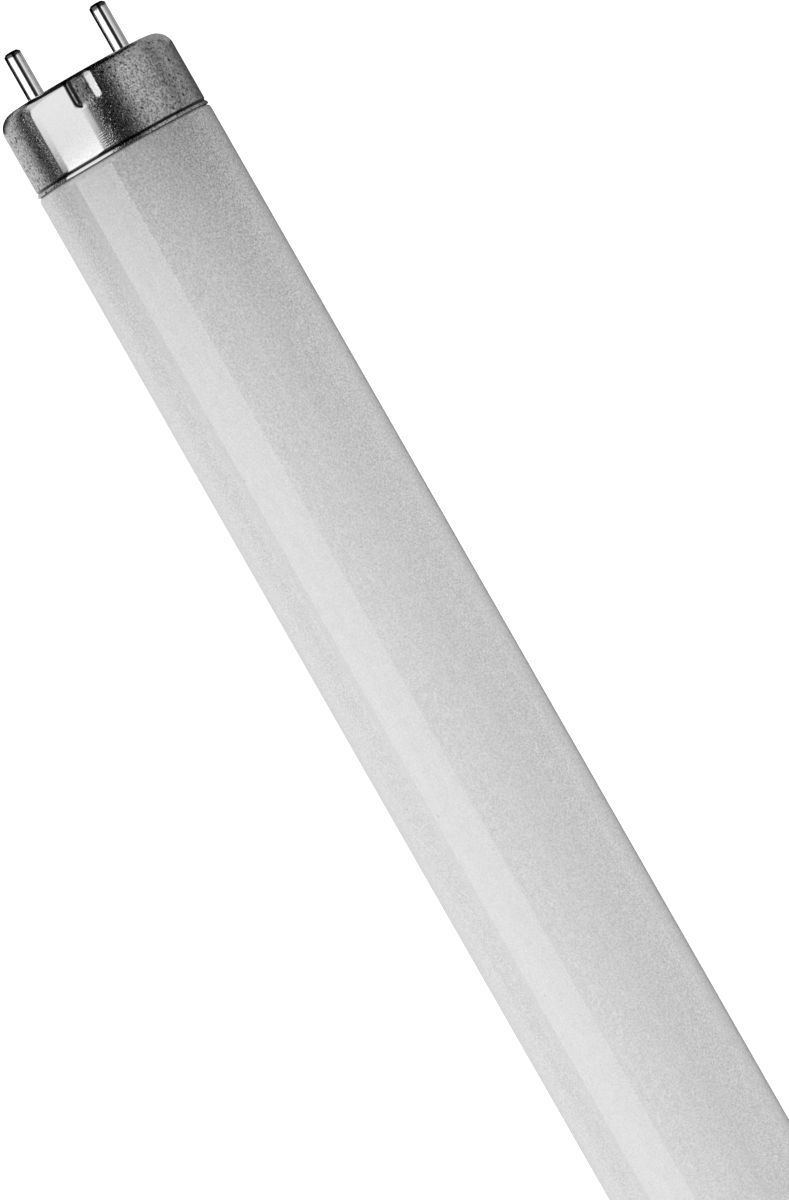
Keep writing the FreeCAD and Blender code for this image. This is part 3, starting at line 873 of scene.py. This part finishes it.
# The cap's shoulder as a mirror: how high it is, how far behind the face, how far it goes
# to either side, and how far to the side is what it shows there. Past the steepness, less
# a little for each degree of lean, is the cap's face, which shows a dark floor.
CAP_TOP = 20 * MM
SHOULDER_BEHIND = 1.5 * MM
SHOULDER_HALF = 11 * MM
SHOWN_HALF = 31 * MM
FACE_STEEPNESS = 0.72
STEEPNESS_LOST = 0.001


def shoulder_mirror(tree, beyond_cap, across):
    """Lean and steepness of the spot on a cap's shoulder that shows a place on the floor.

    The place is a ahead of the spot, s aside and h below it, at a distance d. The spot's
    normal then runs along (a, s, d - h). So its lean is 2 atan2(s, d - h), and its
    steepness, the normal's share along the lamp, is a / sqrt(2 d (d - h)).
    """
    ahead = math_node(tree, "MAXIMUM", math_node(tree, "ADD", beyond_cap, SHOULDER_BEHIND), 0.0)
    spot = mapped(tree, across, -SHOWN_HALF, SHOWN_HALF, -SHOULDER_HALF, SHOULDER_HALF)
    aside = math_node(tree, "SUBTRACT", spot, across)
    square = math_node(tree, "MULTIPLY_ADD", ahead, ahead, CAP_TOP * CAP_TOP)
    distance = math_node(tree, "SQRT", math_node(tree, "MULTIPLY_ADD", aside, aside, square))
    less_drop = math_node(tree, "SUBTRACT", distance, CAP_TOP)
    lean = math_node(tree, "MULTIPLY", math_node(tree, "ARCTAN2", aside, less_drop), math.degrees(2))
    double = math_node(tree, "MULTIPLY", math_node(tree, "MULTIPLY", distance, less_drop), 2.0)
    return lean, math_node(tree, "DIVIDE", ahead, math_node(tree, "SQRT", double))


def make_floor():
    """A white matt floor that keeps the lamp's soft shadow and shows the studio's tones to metal."""
    half = FLOOR_HALF
    corners = [(-half, -half, 0), (half, -half, 0), (half, half, 0), (-half, half, 0)]
    floor = new_piece("floor", corners, [(0, 1, 2, 3)])
    material, tree, shader = new_material("white_floor")
    along, across = lamp_place(tree, object_place(tree))[:2]
    beyond_cap = math_node(tree, "SUBTRACT", math_node(tree, "ABSOLUTE", along), FACE_X)
    lean, steepness = shoulder_mirror(tree, beyond_cap, across)
    lost = math_node(tree, "MULTIPLY", math_node(tree, "ABSOLUTE", lean), STEEPNESS_LOST)
    steepness = math_node(tree, "SUBTRACT", steepness, lost)
    to_face = mapped(tree, steepness, FACE_STEEPNESS - 0.02, FACE_STEEPNESS, 1.0, 0.02)
    beyond = math_node(tree, "MULTIPLY", tone_ramp(tree, lean, BEYOND_TONES, -180, 180), to_face)
    millimetres = math_node(tree, "DIVIDE", across, MM)
    beside = tone_ramp(tree, millimetres, FLOOR_TONES, -400, 400)
    tone = between(tree, mapped(tree, beyond_cap, -0.5 * MM, 0.5 * MM), beside, beyond)
    under_pins = tone_ramp(tree, millimetres, UNDER_PIN_TONES, -30, 30)
    by_pins = mapped(tree, beyond_cap, *PIN_FLOOR_TO, 1.0, 0.0)
    by_pins = math_node(tree, "MULTIPLY", by_pins, mapped(tree, beyond_cap, *PIN_FLOOR_FROM))
    off_axis = math_node(tree, "ABSOLUTE", across)
    by_pins = math_node(tree, "MULTIPLY", by_pins, mapped(tree, off_axis, *PIN_FLOOR_HALF, 1.0, 0.0))
    tone = between(tree, by_pins, tone, under_pins)
    shader.inputs["Base Color"].default_value = (FLOOR_GREY, FLOOR_GREY, FLOOR_GREY, 1)
    shader.inputs["Roughness"].default_value = 1.0
    shader.inputs["Specular IOR Level"].default_value = 0.0
    rays = tree.nodes.new("ShaderNodeLightPath")
    glow = tree.nodes.new("ShaderNodeEmission")
    wire_up(tree, tone, glow.inputs["Color"])
    as_seen_in_metal = tree.nodes.new("ShaderNodeMixShader")
    wire_up(tree, rays.outputs["Is Glossy Ray"], as_seen_in_metal.inputs[0])
    wire_up(tree, shader.outputs[0], as_seen_in_metal.inputs[1])
    wire_up(tree, glow.outputs[0], as_seen_in_metal.inputs[2])
    white = tree.nodes.new("ShaderNodeEmission")
    white.inputs["Strength"].default_value = BACKDROP_GLOW
    lifted = tree.nodes.new("ShaderNodeAddShader")
    wire_up(tree, shader.outputs[0], lifted.inputs[0])
    wire_up(tree, white.outputs[0], lifted.inputs[1])
    as_seen = tree.nodes.new("ShaderNodeMixShader")
    wire_up(tree, rays.outputs["Is Camera Ray"], as_seen.inputs[0])
    wire_up(tree, as_seen_in_metal.outputs[0], as_seen.inputs[1])
    wire_up(tree, lifted.outputs[0], as_seen.inputs[2])
    wire_up(tree, as_seen.outputs[0], tree.nodes["Material Output"].inputs["Surface"])
    material.cycles.emission_sampling = "NONE"
    floor.data.materials.append(material)


make_floor()


# The softbox: a long curved card over the back of the lamp, seen only in the metal and
# the glass. The part over the tube slants, and glows hottest next to the part beyond the
# right cap, which is wider and starts out dimmed.

SOFTBOX_AWAY = 380 * MM
SOFTBOX_TONE = 1.16
CAP_PART_TONE = 1.17
CAP_PART_DIMMED = 0.55
DIMMED_FROM = 1.5 * MM
DIMMED_TO = 7.0 * MM
HOT_TONE = 1.35
HOT_REACH = 20 * MM
CAP_PART_START = 296.5 * MM
SOFTBOX_COLUMNS = 24
# The card's back and front edges, in degrees from straight up about the lamp's axis.
TUBE_PART_ENDS = [(-0.9, -118.0, -72.0), (CAP_PART_START - 0.001 * MM, -67.5, -15.8)]
CAP_PART_EDGES = (-77.0, -8.0)
CAP_PART_REACHES = (0, 60, 120, 180, 240, 300, 360, 420, 460, 600, 1200, 3000, 7700)


def steady_edge(turn, reach):
    """The angle a card's edge needs, so far beyond the cap, to look straight over its shoulder.

    With d half the edge's angle beside the cap and k the distance in units of the card's
    radius, it is d + asin(k sin(d)), as far as there is one.
    """
    half = math.radians(turn / 2)
    distance = math.hypot(reach, SOFTBOX_AWAY) / SOFTBOX_AWAY
    sine = max(-1.0, min(1.0, distance * math.sin(half)))
    return math.degrees(half + math.asin(sine))


def show_in_metal_only(card, material, tree, strength):
    """Gives a card its glow, and hides it from all but the metal and the glass."""
    glow = tree.nodes.new("ShaderNodeEmission")
    wire_up(tree, strength, glow.inputs["Strength"])
    wire_up(tree, glow.outputs[0], tree.nodes["Material Output"].inputs["Surface"])
    material.cycles.emission_sampling = "NONE"
    card.data.materials.append(material)
    card.visible_camera = False
    card.visible_diffuse = False
    card.visible_shadow = False
    card.visible_transmission = False


def make_softbox():
    """A card on a cylinder about the lamp's axis: y = -r sin(a), z = r cos(a) between its edges."""
    ends = list(TUBE_PART_ENDS)
    for reach in CAP_PART_REACHES:
        back, front = (steady_edge(turn, reach * MM) for turn in CAP_PART_EDGES)
        ends.append((CAP_PART_START + reach * MM, back, front))
    along, back, front = np.array(ends).T
    columns = SOFTBOX_COLUMNS
    share = np.linspace(0, 1, columns)
    angle = np.radians(back[:, None] * (1 - share) + front[:, None] * share)
    rows = np.stack([
        np.repeat(along[:, None], columns, axis=1),
        -SOFTBOX_AWAY * np.sin(angle),
        SOFTBOX_AWAY * np.cos(angle) + AXIS_HEIGHT,
    ], axis=2)
    near = np.arange(len(along) - 1)[:, None] * columns + np.arange(columns - 1)[None, :]
    quads = np.stack([near, near + columns, near + columns + 1, near + 1], axis=2).reshape(-1, 4)
    card = new_piece("softbox", rows.reshape(-1, 3).tolist(), quads.tolist())
    material, tree = new_material("softbox_cloth")[:2]
    place_along = lamp_place(tree, object_place(tree))[0]
    short_of_cap = math_node(tree, "SUBTRACT", CAP_PART_START, place_along)
    heat = math_node(tree, "EXPONENT", math_node(tree, "DIVIDE", short_of_cap, -HOT_REACH))
    over_tube = math_node(tree, "GREATER_THAN", short_of_cap, 0.0)
    heat = math_node(tree, "MULTIPLY", math_node(tree, "MULTIPLY", heat, over_tube), HOT_TONE)
    over_cap = mapped(tree, short_of_cap, -DIMMED_TO, -DIMMED_FROM, CAP_PART_TONE, CAP_PART_DIMMED)
    tone = math_node(tree, "ADD", heat, between(tree, over_tube, over_cap, SOFTBOX_TONE))
    show_in_metal_only(card, material, tree, tone)


make_softbox()


# The cards by the pins: a small black one close behind them, which darkens their back
# edges, and a pale one off to the front, brighter towards its top, which lights their
# front halves. Like the softbox, only metal and glass show them.

BLACK_CARD_PLACE = 9.5 * MM
BLACK_CARD_ENDS = (0.5 * MM, 9.0 * MM)
BLACK_CARD_HEIGHTS = (0.0, 13.0 * MM)
PALE_CARD_PLACE = -66.0 * MM
PALE_CARD_ENDS = (2.5 * MM, 13.0 * MM)
PALE_CARD_HEIGHTS = (25.0 * MM, 90.0 * MM)
PALE_CARD_TONES = (0.40, 1.0)


def make_card(name, across, ends, heights, tones):
    """An upright card along the lamp beyond its right cap, whose glow changes evenly with height."""
    near, far = (FACE_X + end for end in ends)
    foot, top = heights
    corners = [(near, across, foot), (far, across, foot), (far, across, top), (near, across, top)]
    card = new_piece(name, corners, [(0, 1, 2, 3)])
    material, tree = new_material(name)[:2]
    up = lamp_place(tree, object_place(tree))[2]
    strength = mapped(tree, up, foot - AXIS_HEIGHT, top - AXIS_HEIGHT, *tones)
    show_in_metal_only(card, material, tree, strength)


make_card("black_card", BLACK_CARD_PLACE, BLACK_CARD_ENDS, BLACK_CARD_HEIGHTS, (0.0, 0.0))
make_card("pale_card", PALE_CARD_PLACE, PALE_CARD_ENDS, PALE_CARD_HEIGHTS, PALE_CARD_TONES)


# The lights of the powder: a broad key over the back of the lamp, and a lower fill from
# behind it. Metal and glass don't show them.

KEY_LENGTH = 1.6


def hang_light(name, angle, away, width, radiance):
    """A long lamp facing the tube's axis. Its power is pi times its area times its radiance."""
    lamp = bpy.data.lights.new(name, "AREA")
    lamp.shape = "RECTANGLE"
    lamp.size = width
    lamp.size_y = KEY_LENGTH
    lamp.energy = math.pi * width * KEY_LENGTH * radiance
    hung = bpy.data.objects.new(name, lamp)
    outward = np.array([0, -math.sin(math.radians(angle)), math.cos(math.radians(angle))])
    stand = np.eye(4)
    stand[:3, 0] = np.cross([1, 0, 0], outward)
    stand[:3, 1] = [1, 0, 0]
    stand[:3, 2] = outward
    stand[:3, 3] = np.array([0, 0, AXIS_HEIGHT]) + outward * away
    hung.matrix_world = stand.T.tolist()
    hung.visible_camera = False
    hung.visible_glossy = False
    bpy.context.scene.collection.objects.link(hung)


hang_light("key", angle=-43, away=0.38, width=0.378, radiance=0.25)
hang_light("back_fill", angle=-70, away=0.60, width=0.36, radiance=0.25)


# The camera looks almost straight down, three degrees round to the front of the lamp,
# and is turned so that the lamp runs from the top left of the picture to the bottom.

CAMERA_AWAY = 2.0
CAMERA_ROUND = math.radians(3)
PICTURE_TURN = math.radians(29.71)
PICTURE_LENGTH = 155.4 * MM
SENSOR = 36.0
AIM_ALONG = 215.6 * MM
AIM_ACROSS = 1.66 * MM

across_view = np.array([0, -math.cos(CAMERA_ROUND), -math.sin(CAMERA_ROUND)])
towards_camera = np.array([0, -math.sin(CAMERA_ROUND), math.cos(CAMERA_ROUND)])
lamp_way = np.array([1.0, 0, 0])
picture_right = -math.sin(PICTURE_TURN) * lamp_way + math.cos(PICTURE_TURN) * across_view
picture_up = math.cos(PICTURE_TURN) * lamp_way + math.sin(PICTURE_TURN) * across_view
aim = np.array([AIM_ALONG, 0, AXIS_HEIGHT]) + AIM_ACROSS * across_view
camera = bpy.data.cameras.new("camera")
camera.sensor_width = SENSOR
camera.lens = SENSOR * CAMERA_AWAY / PICTURE_LENGTH
camera.clip_start = 0.05
camera.clip_end = 100.0
camera_stand = bpy.data.objects.new("camera", camera)
camera_place = np.eye(4)
camera_place[:3, 0] = picture_right
camera_place[:3, 1] = picture_up
camera_place[:3, 2] = towards_camera
camera_place[:3, 3] = aim + towards_camera * CAMERA_AWAY
camera_stand.matrix_world = camera_place.T.tolist()
bpy.context.scene.collection.objects.link(camera_stand)
bpy.context.scene.camera = camera_stand
bpy.context.scene.view_settings.view_transform = "Standard"
